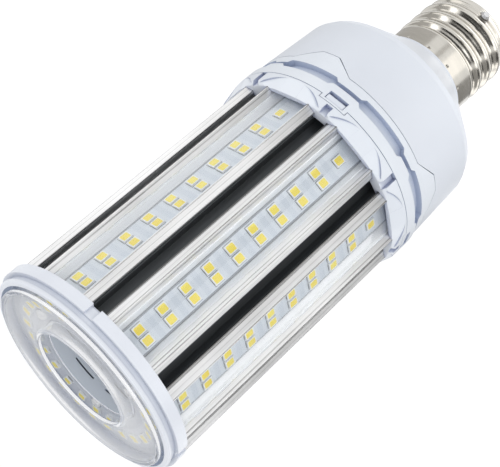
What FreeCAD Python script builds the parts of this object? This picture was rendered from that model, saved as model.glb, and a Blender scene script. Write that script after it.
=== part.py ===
import FreeCAD, Part
import math
import os

# A corn LED bulb with a mogul screw base. The contact tip of the base is the origin,
# the axis is Z, and the clear front lens looks along +Z. Lengths are millimetres,
# angles are degrees and directions are counted from +X.

# Screw base
contact_diameter = 15.0
contact_height = 1.8
contact_crown = 0.7
contact_face_diameter = 8.0
insulator_height = 6.2
insulator_foot_diameter = 20.0
insulator_flange_thickness = 3.0
thread_major_diameter = 39.4
thread_length = 25.4
thread_depth = 1.4
shell_wall = 0.5
shell_end_length = 4.0
shell_end_ledge = 3.2
shell_skirt_inset = 0.3
shell_skirt_height = 10.6
solder_length = 4.8
solder_height = 1.1
solder_angle = -82.0

# Driver housing
neck_overhang = 1.6
neck_rim_height = 0.8
spigot_length = 8.0
spigot_wall = 2.0
shoulder_height = 21.4
shoulder_chamfer = 1.8
housing_length = 48.85
housing_draft = 1.25
housing_wall = 2.2
rail_width = 4.0
rail_length = 16.0
rail_cover = 2.0

# Driver
driver_board_width = 50.0
driver_board_thickness = 1.6
driver_board_gap = 3.0
transformer_width = 24.0
transformer_height = 20.0
transformer_depth = 15.0
capacitor_diameter = 14.0
capacitor_length = 24.0
capacitor_offset = 8.0
inductor_diameter = 11.0
inductor_height = 8.0
component_gap = 1.5

# Vent collar
collar_flare = 0.8
sleeve_wall = 1.8
sleeve_length = 8.0
upper_band_height = 3.7
vent_depth = 2.5
vent_gap = 2.2
vent_step = 1.4
vent_slant = 1.4
channel_post_angle = 5.0
latch_post_angle = 7.8
middle_band_height = 6.0
seam_gap = 0.25
tab_height = 6.0
tab_foot_angle = 18.0
tab_tip_angle = 5.0

# Latches between the collar and the arch ring
latch_half_width = 5.7
latch_rise = 1.8
latch_wall = 1.7
window_half_width = 4.1
window_height = 3.8
window_bar = 0.8
hook_clearance = 0.25
hook_reach = 1.5
hook_ramp = 1.2

# Arch ring
ring_rim = 2.8
ring_height = 6.35
ring_chamfer = 1.4
ring_chamfer_height = 1.2
arch_foot = 0.55
arch_lean = 2.15
socket_depth = 4.6
shelf_thickness = 3.0
shelf_bore = 54.0
tongue_length = 3.3
tongue_wall = 1.8
tongue_margin = 0.6
channel_width = 2.9
channel_depth = 1.7
latch_channel_length = 3.9

# Aluminium panels
panel_count = 8
panel_length = 113.3
ridge_distance = 40.5
ridge_top = 0.5
bevel_width = 2.2
bevel_drop = 2.7
slot_mouth = 6.57
lip_thickness = 0.8
lip_slope = 1.3
flank_clearance = 0.15
ledge_drop = 2.7
ledge_inset = 1.8
ledge_width = 0.6
pocket_drop = 6.6
floor_thickness = 1.5
fin_thickness = 1.0
fin_pitch = 5.6
fin_count = 3
fin_height = 1.8
rib_reach = 0.75
rib_thickness = 0.35
rib_inset = 0.25

# Boards, chips and covers of the panels
board_width = 10.6
board_thickness = 1.3
board_clearance = 0.15
board_end_gap = 1.0
chip_width = 3.5
chip_length = 4.0
chip_height = 0.8
chip_spacing = 4.34
chip_pitch = 10.625
chip_first_inset = 7.3
chip_last_inset = 4.5
single_chip_step = 10.47
cover_thickness = 0.7
cover_crown = 0.8
cover_clearance = 0.1

# Core
core_gap = 0.2
core_wall = 1.6
core_slot_half_width = 3.1
core_slot_wall = 0.9
core_slot_floor = 2.6
hub_wall = 2.2
hub_clearance = 0.3
web_thickness = 2.0

# End ring
end_rim = 1.7
end_skirt_height = 4.3
end_socket_depth = 2.05
end_web_thickness = 1.45
end_groove_depth = 1.8
end_groove_height = 1.9
end_lip_inset = 1.2
end_lip_height = 1.4
end_lip_width = 2.0
end_lip_chamfer = 0.6
notch_width = 3.7
notch_depth = 1.2
notch_foot_height = 0.8
notch_foot_depth = 2.2
socket_clearance = 0.15

# Front board and its parts
front_board_thickness = 1.2
front_board_clearance = 0.2
front_chip_count = 24
front_chip_offset = 0.55

# Front lens
lens_gap = 1.2
lens_seat = 0.8
lens_wall = 1.4
lens_side_height = 5.6
lens_chamfer = 0.8
lens_crown_rise = 0.8
lens_hole_diameter = 39.0
lens_hole_drop = 0.5

# Cup in the central hole
cup_step = 0.2
cup_wall = 1.2
cup_length = 26.0
cup_joint_gap = 0.15
cup_slot_drop = 4.4
cup_slot_height = 0.6
cup_slot_width = 9.6

fit_clearance = 0.2

# Levels along the axis
shell_bottom = contact_height + insulator_height
thread_top = shell_bottom + thread_length
neck_level = thread_top + shell_skirt_height
neck_rim_top = neck_level + neck_rim_height
shoulder_level = neck_level + shoulder_height
housing_top = neck_level + housing_length
band_bottom = housing_top + seam_gap
sleeve_bottom = band_bottom - sleeve_length
vent_bottom = band_bottom + upper_band_height
vent_top = vent_bottom + vent_gap
band_top = vent_top + middle_band_height
ring_bottom = band_top + seam_gap
ring_lip = ring_bottom + ring_height
panel_bottom = ring_lip - socket_depth
panel_top = panel_bottom + panel_length
shelf_bottom = panel_bottom - shelf_thickness
front_board_top = panel_top + front_board_thickness
web_bottom = panel_top + socket_clearance
web_top = web_bottom + end_web_thickness
end_ring_bottom = web_bottom - end_socket_depth
end_skirt_top = end_ring_bottom + end_skirt_height
end_groove_top = end_skirt_top + end_groove_height
end_lip_top = end_groove_top + end_lip_height
lens_edge = web_top + lens_side_height
cup_top = web_top - cup_joint_gap
cup_bottom = cup_top - cup_length

# Radii, from the ridges of the panels outwards
band_radius = ridge_distance + ring_rim
housing_radius = band_radius - collar_flare
housing_bore = housing_radius - housing_draft - housing_wall
sleeve_radius = housing_bore - fit_clearance
sleeve_bore = sleeve_radius - sleeve_wall
pocket_radius = band_radius - latch_wall
tongue_radius = pocket_radius - fit_clearance
shelf_radius = sleeve_bore - fit_clearance
end_radius = ridge_distance + end_rim
end_groove_radius = end_radius - end_groove_depth
end_lip_radius = end_radius - end_lip_inset
end_lip_bore = end_lip_radius - end_lip_width
lens_radius = end_lip_bore - lens_gap
web_bore = lens_radius - lens_seat
front_board_radius = web_bore - front_board_clearance

# Radii of the central hole
lens_bore = lens_hole_diameter / 2
cup_bore = lens_bore + cup_step
cup_radius = cup_bore + cup_wall
front_board_bore = cup_radius + front_board_clearance
hub_bore = cup_radius + hub_clearance
hub_radius = hub_bore + hub_wall
front_chip_circle = (front_board_bore + front_board_radius) / 2 + front_chip_offset

# Radii of the base
thread_radius = thread_major_diameter / 2
root_radius = thread_radius - thread_depth
shell_bore = root_radius - shell_wall
shell_opening = shell_bore - shell_end_ledge
skirt_radius = thread_radius - shell_skirt_inset
spigot_radius = skirt_radius - shell_wall - fit_clearance
spigot_bore = spigot_radius - spigot_wall
spigot_bottom = neck_level - spigot_length
neck_radius = skirt_radius + neck_overhang

# Directions round the axis
step = 360.0 / panel_count
panel_angles = [-90.0 + step * i for i in range(panel_count)]
slot_angles = [angle + step / 2 for angle in panel_angles]
latch_angles = slot_angles[0::2]
channel_angles = slot_angles[1::2]
tab_angles = panel_angles[1::2]
half_step = math.radians(step / 2)


def vec(x, y, z=0.0):
    return FreeCAD.Vector(x, y, z)


def lathe(profile):
    """Solid of revolution over a closed run of (radius, z) corners."""
    corners = [vec(radius, 0, z) for radius, z in profile]
    section = Part.Face(Part.makePolygon(corners + corners[:1]))
    return section.revolve(vec(0, 0), vec(0, 0, 1), 360)


def prism(points, bottom, top):
    """Upright prism over a polygon of (x, y) points."""
    corners = [vec(x, y, bottom) for x, y in points]
    base = Part.Face(Part.makePolygon(corners + corners[:1]))
    return base.extrude(vec(0, 0, top - bottom))


def radial_prism(points, inner, outer):
    """Prism that runs outwards along +X; its section is a polygon of (sideways, z)."""
    corners = [vec(inner, y, z) for y, z in points]
    base = Part.Face(Part.makePolygon(corners + corners[:1]))
    return base.extrude(vec(outer - inner, 0, 0))


def upright(half_width, bottom, top):
    """Rectangle of (sideways, z) points, centred on the radius."""
    return [(-half_width, bottom), (half_width, bottom), (half_width, top), (-half_width, top)]


def block(x_range, y_range, z_range):
    size = [pair[1] - pair[0] for pair in (x_range, y_range, z_range)]
    return Part.makeBox(size[0], size[1], size[2], vec(x_range[0], y_range[0], z_range[0]))


def pipe(inner, outer, bottom, top):
    solid = Part.makeCylinder(outer, top - bottom, vec(0, 0, bottom))
    return solid.cut(Part.makeCylinder(inner, top - bottom, vec(0, 0, bottom)))


def at(shape, angle):
    copy = shape.copy()
    copy.rotate(vec(0, 0), vec(0, 0, 1), angle)
    return copy


def around(shape, angles):
    return [at(shape, angle) for angle in angles]


def save(shape, name):
    if shape.ShapeType == "Compound" and len(shape.Solids) == 1:
        shape = shape.Solids[0]
    shape.exportStep("parts/" + name + ".step")


def save_round(shape, name):
    """One node for each panel, numbered from the front panel."""
    for i, angle in enumerate(panel_angles):
        save(at(shape, angle), name + "_" + str(i + 1))


os.makedirs("parts", exist_ok=True)

# Screw shell: a narrower end with a round opening, the threaded length and a plain skirt.
thread_foot = shell_bottom + shell_end_length
shell_outside = [
    (shell_opening, shell_bottom),
    (root_radius, shell_bottom),
    (root_radius, thread_foot),
    (thread_radius, thread_foot),
    (thread_radius, thread_top),
    (skirt_radius, thread_top),
    (skirt_radius, neck_level),
]
shell_inside = [
    (skirt_radius - shell_wall, neck_level),
    (skirt_radius - shell_wall, thread_top),
    (shell_bore, thread_top),
    (shell_bore, shell_bottom + shell_wall),
    (shell_opening, shell_bottom + shell_wall),
]
save(lathe(shell_outside + shell_inside), "screw_shell")

# Insulator: a tapered foot outside the shell and a flange inside it.
flange_bottom = shell_bottom + shell_wall
flange_top = flange_bottom + insulator_flange_thickness
insulator_profile = [
    (0, contact_height),
    (insulator_foot_diameter / 2, contact_height),
    (shell_opening, shell_bottom),
    (shell_opening, flange_bottom),
    (shell_bore - fit_clearance, flange_bottom),
    (shell_bore - fit_clearance, flange_top),
    (0, flange_top),
]
save(lathe(insulator_profile), "base_insulator")

# Centre contact: a round plate with a flat face and a tapered edge.
contact_profile = [
    (0, 0),
    (contact_face_diameter / 2, 0),
    (contact_diameter / 2, contact_crown),
    (contact_diameter / 2, contact_height),
    (0, contact_height),
]
save(lathe(contact_profile), "centre_contact")

# Solder of the side wire: a flattened drop in the corner between shell end and thread.
drop = Part.makeCone(
    solder_length / 2,
    solder_length / 4,
    solder_height + thread_depth,
    vec(root_radius, 0, thread_foot),
    vec(1, 0, 0),
)
shell_block = lathe([(0, neck_level), (0, shell_bottom)] + shell_outside)
drop = drop.cut(shell_block)
drop = max(drop.Solids, key=lambda solid: solid.Volume)
save(at(drop, solder_angle), "side_solder")

# Driver housing: spigot in the shell, neck rim, conical shoulder and tapered body.
shoulder_corner = housing_radius - housing_draft
cone_angle = math.atan2(shoulder_corner - neck_radius, shoulder_level - neck_rim_top)
cone_shift = housing_wall / math.sin(cone_angle)


def wall_radius(level):
    return shoulder_corner + housing_draft * (level - shoulder_level) / (housing_top - shoulder_level)


def inner_cone_level(radius):
    return neck_rim_top + cone_shift + (radius - neck_radius) / math.tan(cone_angle)


chamfer_inset = shoulder_chamfer * math.sin(cone_angle)
chamfer_drop = shoulder_chamfer * math.cos(cone_angle)
housing_profile = [
    (spigot_bore, spigot_bottom),
    (spigot_radius, spigot_bottom),
    (spigot_radius, neck_level),
    (neck_radius, neck_level),
    (neck_radius, neck_rim_top),
    (shoulder_corner - chamfer_inset, shoulder_level - chamfer_drop),
    (wall_radius(shoulder_level + shoulder_chamfer), shoulder_level + shoulder_chamfer),
    (housing_radius, housing_top),
    (housing_bore, housing_top),
    (housing_bore, inner_cone_level(housing_bore)),
    (spigot_bore, inner_cone_level(spigot_bore)),
]
housing = lathe(housing_profile)


def tab_outline(growth):
    """Trapezoid of a locking tab, wide at the collar; growth widens it to its notch."""
    foot = housing_radius * math.sin(math.radians(tab_foot_angle)) + growth
    tip = housing_radius * math.sin(math.radians(tab_tip_angle)) + growth
    low = band_bottom - tab_height - growth
    return [(-foot, band_bottom), (-tip, low), (tip, low), (foot, band_bottom)]


tab_notch = radial_prism(tab_outline(seam_gap), sleeve_bore, band_radius)
housing = housing.cut(around(tab_notch, tab_angles))

# Two grooved rails inside the body hold the driver board by its edges.
board_half = driver_board_width / 2
rail_top = sleeve_bottom - fit_clearance
rail_bottom = rail_top - rail_length
rail = block(
    (board_half - rail_cover, housing_radius),
    (-rail_width / 2, rail_width / 2),
    (rail_bottom, rail_top),
)
rail = rail.common(Part.makeCylinder(housing_bore + housing_wall / 2, housing_top))
groove_half = driver_board_thickness / 2 + fit_clearance / 2
groove = block(
    (board_half - rail_cover, board_half + fit_clearance),
    (-groove_half, groove_half),
    (rail_bottom, rail_top),
)
rail = rail.cut(groove)
housing = housing.fuse(around(rail, [0, 180]))
save(housing, "driver_housing")

# Driver: an upright board with its larger components, inside the housing.
driver_bottom = inner_cone_level(board_half) + driver_board_gap
driver_top = shelf_bottom - driver_board_gap
face_level = driver_board_thickness / 2
driver_board = block((-board_half, board_half), (-face_level, face_level), (driver_bottom, driver_top))
save(driver_board, "driver_board")

driver_middle = (driver_bottom + driver_top) / 2
transformer_bottom = driver_middle - transformer_height / 2
transformer = block(
    (-transformer_width / 2, transformer_width / 2),
    (face_level, face_level + transformer_depth),
    (transformer_bottom, transformer_bottom + transformer_height),
)
save(transformer, "driver_transformer")

capacitor_centre = vec(
    capacitor_offset,
    -face_level - capacitor_diameter / 2,
    driver_middle - capacitor_length / 2,
)
save(Part.makeCylinder(capacitor_diameter / 2, capacitor_length, capacitor_centre), "driver_capacitor")

inductor_level = transformer_bottom - component_gap - inductor_diameter / 2
inductor = Part.makeCylinder(
    inductor_diameter / 2,
    inductor_height,
    vec(0, face_level, inductor_level),
    vec(0, 1, 0),
)
save(inductor, "driver_inductor")

# Vent collar: sleeve in the housing, upper band, vent groove and middle band.
vent_floor = housing_radius - vent_depth
collar_profile = [
    (sleeve_bore, sleeve_bottom),
    (sleeve_radius, sleeve_bottom),
    (sleeve_radius, band_bottom),
    (housing_radius, band_bottom),
    (housing_radius, vent_bottom),
    (vent_floor, vent_bottom),
    (vent_floor, vent_top),
    (band_radius, vent_top),
    (band_radius, band_top),
    (sleeve_bore, band_top),
]
collar = lathe(collar_profile)

# Locking tabs that reach down into the notches of the housing.
tab_blank = Part.makeCone(
    shoulder_corner,
    housing_radius,
    band_bottom - shoulder_level,
    vec(0, 0, shoulder_level),
)
tab_blank = tab_blank.cut(Part.makeCylinder(sleeve_radius, band_bottom))
tab = radial_prism(tab_outline(0), sleeve_bore, band_radius).common(tab_blank)

# Latch tabs that rise over the hooks of the arch ring.
latch_top = band_top + latch_rise
latch_blank = pipe(pocket_radius, band_radius, band_top, latch_top)
latch = radial_prism(upright(latch_half_width, band_top, latch_top), sleeve_bore, 2 * band_radius)
latch = latch.common(latch_blank)
collar = collar.fuse(around(tab, tab_angles) + around(latch, latch_angles)).removeSplitter()

# Windows of the latches with the pockets behind them, and the wide vents between posts.
window_top = latch_top - window_bar
window_bottom = window_top - window_height
window = radial_prism(
    upright(window_half_width, window_bottom, window_top),
    sleeve_bore,
    2 * band_radius,
)
tongue_half = window_half_width + tongue_margin
tongue_bottom = ring_bottom - tongue_length
latch_pocket = radial_prism(
    upright(tongue_half + fit_clearance, tongue_bottom - fit_clearance, band_top),
    tongue_radius - tongue_wall - fit_clearance,
    band_radius,
)
latch_pocket = latch_pocket.common(Part.makeCylinder(pocket_radius, band_top))
vent_span = (step - latch_post_angle - channel_post_angle) / 2
vent_half = band_radius * math.sin(math.radians(vent_span))
vent_neck = vent_half - vent_slant
vent_outline = [
    (-vent_neck, vent_bottom - vent_step),
    (vent_neck, vent_bottom - vent_step),
    (vent_half, vent_bottom),
    (vent_half, vent_top),
    (vent_neck, vent_top + vent_step),
    (-vent_neck, vent_top + vent_step),
    (-vent_half, vent_top),
    (-vent_half, vent_bottom),
]
vent_ring = pipe(vent_floor, 2 * band_radius, vent_bottom - vent_step, vent_top + vent_step)
vent = radial_prism(vent_outline, sleeve_bore, 2 * band_radius).common(vent_ring)
vent_shift = latch_post_angle + vent_span
vent_angles = [angle + vent_shift for angle in latch_angles]
vent_angles += [angle - vent_shift for angle in latch_angles]
collar_cuts = around(window, latch_angles) + around(latch_pocket, latch_angles)
collar = collar.cut(collar_cuts + around(vent, vent_angles))
save(collar, "vent_collar")

# Section of a panel, in its own frame: x runs outwards and y sideways. The slots between
# the panels lie half a step to each side.
corner_distance = ridge_distance - bevel_drop
mouth_half = slot_mouth / 2
corner_half = (corner_distance * math.sin(half_step) - mouth_half) / math.cos(half_step)
corner_reach = corner_distance * math.cos(half_step) + corner_half * math.sin(half_step)
ridge_outer = corner_half - bevel_width
ridge_inner = ridge_outer - ridge_top
ledge_half = ridge_inner - ledge_inset
ledge_distance = ridge_distance - ledge_drop
pocket_distance = ridge_distance - pocket_drop
pocket_half = board_width / 2 + board_clearance
back_distance = pocket_distance - floor_thickness
fin_end = back_distance - fin_height
flank_depth = core_slot_half_width + core_slot_wall + flank_clearance
flank_half = (back_distance * math.sin(half_step) - flank_depth) / math.cos(half_step)
flank_reach = corner_reach - lip_thickness - lip_slope
rib_top = corner_reach - rib_inset
rib_bottom = rib_top - rib_thickness


def from_slot(depth, reach, side):
    """Point at a depth from the middle plane of a slot and a reach along it."""
    x = reach * math.cos(half_step) + depth * math.sin(half_step)
    y = reach * math.sin(half_step) - depth * math.cos(half_step)
    return (x, side * y)


def outer_edge(side):
    """Outer corner of a panel on one side, from its flank up to its ridge."""
    points = [
        (back_distance, side * flank_half),
        from_slot(flank_depth, flank_reach, side),
        from_slot(mouth_half, corner_reach - lip_thickness, side),
    ]
    if side > 0:
        points += [
            from_slot(mouth_half, rib_bottom, side),
            from_slot(mouth_half - rib_reach, rib_bottom, side),
            from_slot(mouth_half - rib_reach, rib_top, side),
            from_slot(mouth_half, rib_top, side),
        ]
    points += [
        (corner_distance, side * corner_half),
        (ridge_distance, side * ridge_outer),
        (ridge_distance, side * ridge_inner),
    ]
    return points


def inner_edge(side):
    """Wall of the trough on one side: ledge of the cover, slope and board pocket."""
    return [
        (ledge_distance + cover_thickness + cover_clearance, side * ledge_half),
        (ledge_distance, side * ledge_half),
        (ledge_distance, side * (ledge_half - ledge_width)),
        (pocket_distance + board_thickness, side * pocket_half),
        (pocket_distance, side * pocket_half),
    ]


panel_points = outer_edge(1) + inner_edge(1) + inner_edge(-1)[::-1] + outer_edge(-1)[::-1]
for i in range(fin_count):
    middle = fin_pitch * (i - (fin_count - 1) / 2)
    panel_points += [
        (back_distance, middle - fin_thickness / 2),
        (fin_end, middle - fin_thickness / 2),
        (fin_end, middle + fin_thickness / 2),
        (back_distance, middle + fin_thickness / 2),
    ]
save_round(prism(panel_points, panel_bottom, panel_top), "panel_profile")

# Board and chips of a panel: pairs of chips, then a single one next to the base.
board_bottom = panel_bottom + board_end_gap
board_end = panel_top - board_end_gap
board_face = pocket_distance + board_thickness
led_board = block(
    (pocket_distance, board_face),
    (-board_width / 2, board_width / 2),
    (board_bottom, board_end),
)
save_round(led_board, "led_board")

first_level = board_end - chip_first_inset
chip_room = first_level - board_bottom - single_chip_step - chip_last_inset
pair_count = int(chip_room / chip_pitch) + 1
single_level = first_level - (pair_count - 1) * chip_pitch - single_chip_step


def chip(middle, level):
    return block(
        (board_face, board_face + chip_height),
        (middle - chip_width / 2, middle + chip_width / 2),
        (level - chip_length / 2, level + chip_length / 2),
    )


chips = [chip(0, single_level)]
for i in range(pair_count):
    chips.append(chip(-chip_spacing / 2, first_level - i * chip_pitch))
    chips.append(chip(chip_spacing / 2, first_level - i * chip_pitch))
save_round(Part.makeCompound(chips), "led_chips")

# Clear cover: a slightly arched strip that slides in on the two ledges.
cover_half = ledge_half - cover_clearance
cover_ends = (panel_bottom + cover_clearance, panel_top - cover_clearance)


def cover_arc(rise, start, end):
    first = vec(ledge_distance + rise, start, cover_ends[0])
    middle = vec(ledge_distance + rise + cover_crown, 0, cover_ends[0])
    last = vec(ledge_distance + rise, end, cover_ends[0])
    return Part.Arc(first, middle, last).toShape()


cover_edges = [
    cover_arc(0, -cover_half, cover_half),
    Part.makeLine(
        vec(ledge_distance, cover_half, cover_ends[0]),
        vec(ledge_distance + cover_thickness, cover_half, cover_ends[0]),
    ),
    cover_arc(cover_thickness, cover_half, -cover_half),
    Part.makeLine(
        vec(ledge_distance + cover_thickness, -cover_half, cover_ends[0]),
        vec(ledge_distance, -cover_half, cover_ends[0]),
    ),
]
cover = Part.Face(Part.Wire(cover_edges)).extrude(vec(0, 0, cover_ends[1] - cover_ends[0]))
save_round(cover, "cover_strip")

# Sockets that take the panel ends, in the arch ring and in the end ring.
cover_top = ledge_distance + cover_thickness + cover_crown
slope = (ledge_inset) / (ledge_drop - cover_thickness - cover_clearance)
cover_line = ridge_inner - (ridge_distance - cover_top) * slope


def socket_edge(side, mouth):
    return [
        from_slot(flank_depth, flank_reach, side),
        from_slot(mouth, corner_reach - lip_thickness, side),
        from_slot(mouth, rib_top, side),
        (corner_distance, side * corner_half),
        (ridge_distance, side * ridge_outer),
        (ridge_distance, side * ridge_inner),
        (cover_top, side * cover_line),
    ]


socket_points = socket_edge(1, mouth_half - rib_reach) + socket_edge(-1, mouth_half)[::-1]
socket_corners = [vec(x, y) for x, y in socket_points]
socket_face = Part.Face(Part.makePolygon(socket_corners + socket_corners[:1]))
socket_face = socket_face.makeOffset2D(socket_clearance, join=2)
core_reach = math.hypot(flank_reach - fit_clearance, core_slot_half_width + core_slot_wall)
socket_bore = core_reach + socket_clearance


def sockets(bottom, top):
    base = socket_face.copy()
    base.translate(vec(0, 0, bottom))
    centre = Part.makeCylinder(socket_bore, top - bottom, vec(0, 0, bottom))
    return around(base.extrude(vec(0, 0, top - bottom)), panel_angles) + [centre]


# Arch ring: one moulded ring that carries the core and the panels. Tilted flats cut
# through its round band, so that each panel ends under an arch.
ring_profile = [
    (shelf_bore / 2, shelf_bottom),
    (shelf_radius, shelf_bottom),
    (shelf_radius, ring_bottom),
    (band_radius, ring_bottom),
    (band_radius, ring_lip - ring_chamfer_height),
    (band_radius - ring_chamfer, ring_lip),
    (shelf_bore / 2, ring_lip),
]
ring = lathe(ring_profile)
arch_level = ring_bottom + arch_foot
flat_rise = ring_lip - arch_level
flat_points = [
    vec(band_radius, -band_radius, arch_level),
    vec(band_radius - 2 * arch_lean, -band_radius, arch_level + 2 * flat_rise),
    vec(2 * band_radius, -band_radius, arch_level + 2 * flat_rise),
    vec(2 * band_radius, -band_radius, arch_level),
]
flat = Part.Face(Part.makePolygon(flat_points + flat_points[:1])).extrude(vec(0, 2 * band_radius, 0))
latch_notch = radial_prism(
    upright(latch_half_width + fit_clearance, ring_bottom, latch_top + fit_clearance),
    tongue_radius - tongue_wall,
    2 * band_radius,
)
latch_ring = pipe(tongue_radius, 2 * band_radius, ring_bottom, latch_top + fit_clearance)
latch_notch = latch_notch.common(latch_ring)
channel_floor = band_radius - channel_depth
long_channel = radial_prism(
    upright(channel_width / 2, ring_bottom, 2 * ring_lip),
    channel_floor,
    2 * band_radius,
)
short_channel = radial_prism(
    upright(channel_width / 2, ring_lip - latch_channel_length, 2 * ring_lip),
    channel_floor,
    2 * band_radius,
)
cuts = sockets(panel_bottom, ring_lip) + around(flat, panel_angles) + around(latch_notch, latch_angles)
cuts += around(long_channel, channel_angles) + around(short_channel, latch_angles)
ring = ring.cut(cuts)

# Tongues that hang into the pockets of the collar. Each has a hook that shows in its
# window, with a ramp below and a flat catch above.
tongue = radial_prism(
    upright(tongue_half, tongue_bottom, ring_bottom),
    tongue_radius - tongue_wall,
    band_radius,
)
tongue = tongue.common(Part.makeCylinder(tongue_radius, ring_lip))
hook_bottom = window_bottom + hook_clearance
hook_top = window_top - hook_clearance
hook_half = window_half_width - hook_clearance
hook_outer = tongue_radius + hook_reach
hook_inner = tongue_radius - tongue_wall / 2
hook_points = [
    vec(hook_inner, -hook_half, hook_bottom),
    vec(tongue_radius, -hook_half, hook_bottom),
    vec(hook_outer, -hook_half, hook_bottom + hook_ramp),
    vec(hook_outer, -hook_half, hook_top),
    vec(hook_inner, -hook_half, hook_top),
]
hook = Part.Face(Part.makePolygon(hook_points + hook_points[:1])).extrude(vec(0, 2 * hook_half, 0))
ring = ring.fuse(around(tongue, latch_angles) + around(hook, latch_angles)).removeSplitter()
save(ring, "arch_ring")

# Core: a black extrusion. Its tube carries the panels, channels with thin walls line the
# slots between them, and webs reach in to a tube of its own in the middle.
wall_depth = core_slot_half_width + core_slot_wall
wall_reach = flank_reach - fit_clearance
seat_distance = fin_end - core_gap
floor_reach = seat_distance + core_slot_floor
seat_reach = (seat_distance - wall_depth * math.sin(half_step)) / math.cos(half_step)
channel_section = [
    (seat_reach, -wall_depth),
    (wall_reach, -wall_depth),
    (wall_reach, -core_slot_half_width),
    (floor_reach, -core_slot_half_width),
    (floor_reach, core_slot_half_width),
    (wall_reach, core_slot_half_width),
    (wall_reach, wall_depth),
    (seat_reach, wall_depth),
]
core_points = []
for angle in slot_angles:
    cosine = math.cos(math.radians(angle))
    sine = math.sin(math.radians(angle))
    core_points += [(x * cosine - y * sine, x * sine + y * cosine) for x, y in channel_section]
core = prism(core_points, panel_bottom, panel_top)
core_bore = seat_distance - core_wall
core = core.cut(Part.makeCylinder(core_bore, panel_length, vec(0, 0, panel_bottom)))
web = block(
    (hub_bore, core_bore + core_wall / 2),
    (-web_thickness / 2, web_thickness / 2),
    (panel_bottom, panel_top),
)
core = core.fuse(around(web, slot_angles))
core = core.cut(Part.makeCylinder(hub_radius, panel_length, vec(0, 0, panel_bottom)))
save(core.removeSplitter(), "heat_sink_core")
save(pipe(hub_bore, hub_radius, panel_bottom, panel_top), "core_tube")

# End ring: sockets for the panels, a web under the lens, a groove and a rounded lip.
end_profile = [
    (web_bore, end_ring_bottom),
    (end_radius, end_ring_bottom),
    (end_radius, end_skirt_top),
    (end_groove_radius, end_skirt_top),
    (end_groove_radius, end_groove_top),
    (end_lip_radius, end_groove_top),
    (end_lip_radius, end_lip_top - end_lip_chamfer),
    (end_lip_radius - end_lip_chamfer, end_lip_top),
    (end_lip_bore, end_lip_top),
    (end_lip_bore, web_top),
    (web_bore, web_top),
]
end_ring = lathe(end_profile)
notch = radial_prism(
    upright(notch_width / 2, end_ring_bottom, end_skirt_top),
    end_radius - notch_depth,
    2 * end_radius,
)
notch_foot = radial_prism(
    upright(notch_width / 2, end_ring_bottom, end_ring_bottom + notch_foot_height),
    end_radius - notch_foot_depth,
    2 * end_radius,
)
end_cuts = sockets(end_ring_bottom, web_bottom)
end_cuts += around(notch, latch_angles) + around(notch_foot, latch_angles)
save(end_ring.cut(end_cuts), "end_ring")

# Front board: a ring of white board with a circle of chips.
save(pipe(front_board_bore, front_board_radius, panel_top, front_board_top), "front_board")

front_chip = block(
    (front_chip_circle - chip_length / 2, front_chip_circle + chip_length / 2),
    (-chip_width / 2, chip_width / 2),
    (front_board_top, front_board_top + chip_height),
)
front_chip_angles = [-90.0 + 360.0 / front_chip_count * i for i in range(front_chip_count)]
save(Part.makeCompound(around(front_chip, front_chip_angles)), "front_chips")

# Front lens: one clear moulded cap, crowned between its rim and its central hole.
lens_inner = lens_radius - lens_wall
hole_outer = lens_bore + lens_wall
crown_middle = (lens_radius + lens_bore) / 2
under_level = lens_edge - lens_hole_drop - lens_wall
lens_profile = [
    (lens_inner, web_top),
    (lens_radius, web_top),
    (lens_radius, lens_edge - lens_chamfer),
    (lens_radius - lens_chamfer, lens_edge),
    (crown_middle, lens_edge + lens_crown_rise),
    (lens_bore, lens_edge - lens_hole_drop),
    (lens_bore, web_top),
    (hole_outer, web_top),
    (hole_outer, under_level),
    (lens_inner, under_level),
]
save(lathe(lens_profile), "front_lens")

# Cup: a white sleeve with narrow slots that lines the upper end of the central hole.
cup_slot_top = cup_top - cup_slot_drop
cup_slot = radial_prism(
    upright(cup_slot_width / 2, cup_slot_top - cup_slot_height, cup_slot_top),
    cup_bore / 2,
    hub_radius,
)
cup = pipe(cup_bore, cup_radius, cup_bottom, cup_top)
save(cup.cut(around(cup_slot, panel_angles)), "inner_cup")
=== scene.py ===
import bmesh
import bpy
import math
from mathutils import Matrix, Vector


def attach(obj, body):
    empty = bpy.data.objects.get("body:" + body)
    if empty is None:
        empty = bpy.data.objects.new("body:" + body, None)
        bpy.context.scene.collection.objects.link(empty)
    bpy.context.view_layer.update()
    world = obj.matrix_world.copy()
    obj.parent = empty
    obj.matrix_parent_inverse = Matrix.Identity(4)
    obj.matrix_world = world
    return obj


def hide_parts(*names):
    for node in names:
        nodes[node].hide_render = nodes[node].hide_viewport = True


# Looks of a corn LED bulb. The CAD nodes get materials; the arch ring, the screw shell, the chips and the
# front lens get finer meshes, and three screws are added. Sizes of the bulb are in millimetres, those of
# materials and of the studio's cards and lamps in metres.

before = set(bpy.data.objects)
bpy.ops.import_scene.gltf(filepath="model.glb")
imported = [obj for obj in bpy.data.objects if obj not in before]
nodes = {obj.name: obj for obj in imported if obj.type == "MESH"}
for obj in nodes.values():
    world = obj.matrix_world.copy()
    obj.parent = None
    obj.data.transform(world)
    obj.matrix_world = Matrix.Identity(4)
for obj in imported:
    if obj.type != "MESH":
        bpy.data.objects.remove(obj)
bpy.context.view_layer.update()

MM = 0.001
PANELS = range(1, 9)
PANEL_ANGLE = {k: math.radians(-90 + 45 * (k - 1)) for k in PANELS}

# Die lines of the panel: distance from its middle, half width, depth of tone. The last is the dark lip.
GROOVES = ((6.9, 0.13, 0.12), (8.8, 0.15, 0.45), (9.85, 0.16, 0.55), (11.0, 0.10, 0.30), (12.1, 0.14, 0.50),
           (12.9, 0.7, 1.0))
# Walls beside the board, white with painted light against their shade: reach, how much paler, how much less
# metallic.
WHITE_HALF, WHITE_AND_PAINTED_LIGHT, WHITE_DULL = 7.4, 0.4, 0.7

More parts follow.
